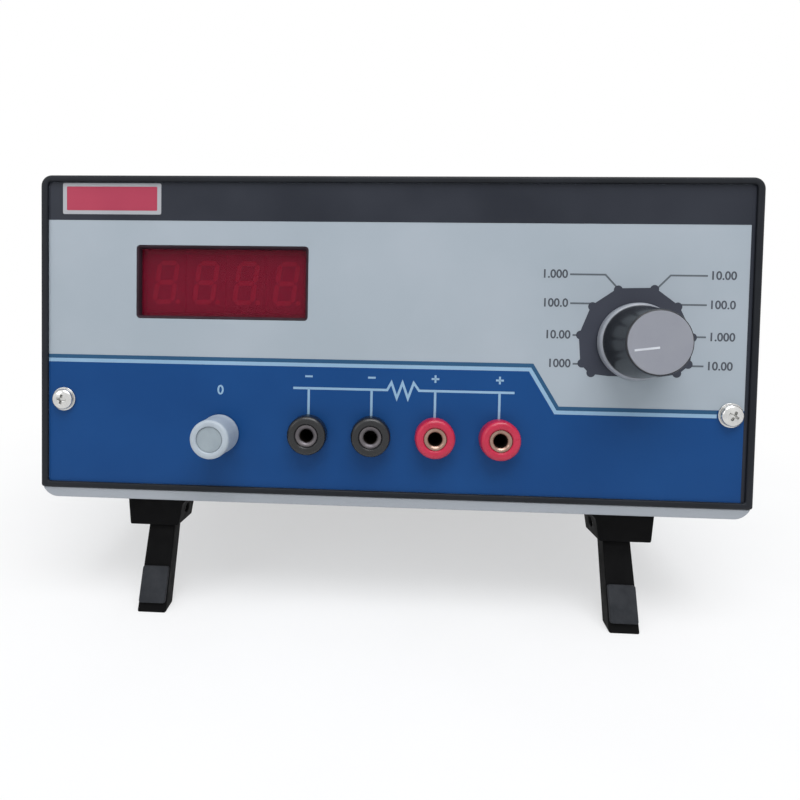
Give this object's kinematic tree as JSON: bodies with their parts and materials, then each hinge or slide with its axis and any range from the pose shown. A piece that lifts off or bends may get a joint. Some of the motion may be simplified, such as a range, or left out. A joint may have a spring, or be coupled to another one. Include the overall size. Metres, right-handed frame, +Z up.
{
  "type": "micro ohmmeter",
  "caption": "Bench micro ohmmeter in a low box case on fold-out front legs, with an LED display, a range knob, a zero knob and black and red measuring sockets.",
  "frame": {"origin": "on the table, under the middle of the outline of the instrument as it stands on its folded-out legs", "axes": "+X to the right seen from the front, +Y into the instrument, so the front panel faces -Y and slightly upwards, +Z up"},
  "size_m": [0.2286, 0.2426, 0.14],
  "materials": {
    "black_frame": "matte",
    "panel_aluminium": "satin",
    "panel_print": "satin",
    "red_filter": "gloss",
    "holder_plastic": "matte",
    "digit_resin": "satin",
    "board_laminate": "satin",
    "knob_black": "gloss",
    "disc_grey": "matte",
    "shaft_steel": "satin",
    "nickel": "polished",
    "brass_plain": "satin",
    "switch_metal": "satin",
    "paper_laminate": "matte",
    "knob_grey": "satin",
    "disc_pale": "satin",
    "pot_body": "matte",
    "socket_black": "gloss",
    "socket_red": "gloss",
    "grey_enamel": "satin",
    "inlet_plastic": "satin",
    "fuse_glass": "polished",
    "leg_plastic": "matte",
    "leg_rubber": "matte",
    "part_resin": "matte",
    "core_steel": "matte",
    "winding_tape": "satin"
  },
  "bodies": {
    "case": {"front_frame": "black_frame", "front_panel": "panel_aluminium", "panel_overlay": "panel_print", "display_filter": "red_filter", "display_holder": "holder_plastic", "led_digit_1": "digit_resin", "led_digit_2": "digit_resin", "led_digit_3": "digit_resin", "led_digit_4": "digit_resin", "display_board": "board_laminate", "range_nut": "nickel", "range_switch": "switch_metal", "switch_wafers": "paper_laminate", "zero_nut": "nickel", "zero_pot": "pot_body", "socket_head_1": "socket_black", "socket_head_2": "socket_black", "socket_head_3": "socket_red", "socket_head_4": "socket_red", "socket_sleeve_1": "brass_plain", "socket_sleeve_2": "brass_plain", "socket_sleeve_3": "brass_plain", "socket_sleeve_4": "brass_plain", "socket_washers": "holder_plastic", "socket_nuts": "nickel", "solder_tags": "nickel", "panel_screws": "nickel", "panel_washers": "nickel", "top_cover": "grey_enamel", "cover_screws": "nickel", "bottom_tray": "grey_enamel", "rear_frame": "black_frame", "rear_panel": "grey_enamel", "rear_screws": "nickel", "mains_inlet": "inlet_plastic", "inlet_pins": "nickel", "fuse_holder": "inlet_plastic", "power_switch": "inlet_plastic", "foot_block_left": "leg_plastic", "foot_block_right": "leg_plastic", "leg_pins": "shaft_steel", "rear_feet": "leg_rubber", "base_screws": "nickel", "main_board": "board_laminate", "board_parts": "part_resin", "transformer_core": "core_steel", "transformer_winding": "winding_tape"},
    "range_control": {"range_knob": "knob_black", "range_knob_disc": "disc_grey", "range_shaft": "shaft_steel"},
    "zero_control": {"zero_knob": "knob_grey", "zero_knob_disc": "disc_pale", "zero_shaft": "shaft_steel"},
    "left_leg": {"leg_left": "leg_plastic", "leg_pad_left": "leg_rubber"},
    "right_leg": {"leg_right": "leg_plastic", "leg_pad_right": "leg_rubber"},
    "rocker": {"power_rocker": "inlet_plastic"},
    "fuse_carrier": {"fuse_cap": "inlet_plastic", "fuse_link": "fuse_glass"}
  },
  "joints": [
    {"name": "range_turn", "type": "hinge", "parent": "case", "child": "range_control", "pos_m": [0.076, -0.10259, 0.09019], "axis": [0, 0.992, -0.1266], "range_deg": [0, 210]},
    {"name": "zero_turn", "type": "hinge", "parent": "case", "child": "zero_control", "pos_m": [-0.0534, -0.10663, 0.05854], "axis": [0, 0.992, -0.1266], "range_deg": [-135, 135]},
    {"name": "left_leg_fold", "type": "hinge", "parent": "case", "child": "left_leg", "pos_m": [-0.0753, -0.0973, 0.02893], "axis": [1, 0, 0], "range_deg": [0, 109.5]},
    {"name": "right_leg_fold", "type": "hinge", "parent": "case", "child": "right_leg", "pos_m": [0.0753, -0.0973, 0.02893], "axis": [1, 0, 0], "range_deg": [0, 109.5]},
    {"name": "rocker_tip", "type": "hinge", "parent": "case", "child": "rocker", "pos_m": [0.012, 0.1088, 0.04819], "axis": [1, 0, 0], "range_deg": [0, 18]},
    {"name": "fuse_turn", "type": "hinge", "parent": "case", "child": "fuse_carrier", "pos_m": [-0.022, 0.11415, 0.0475], "axis": [0, 0.992, -0.1266], "range_deg": [0, 90]}
  ]
}
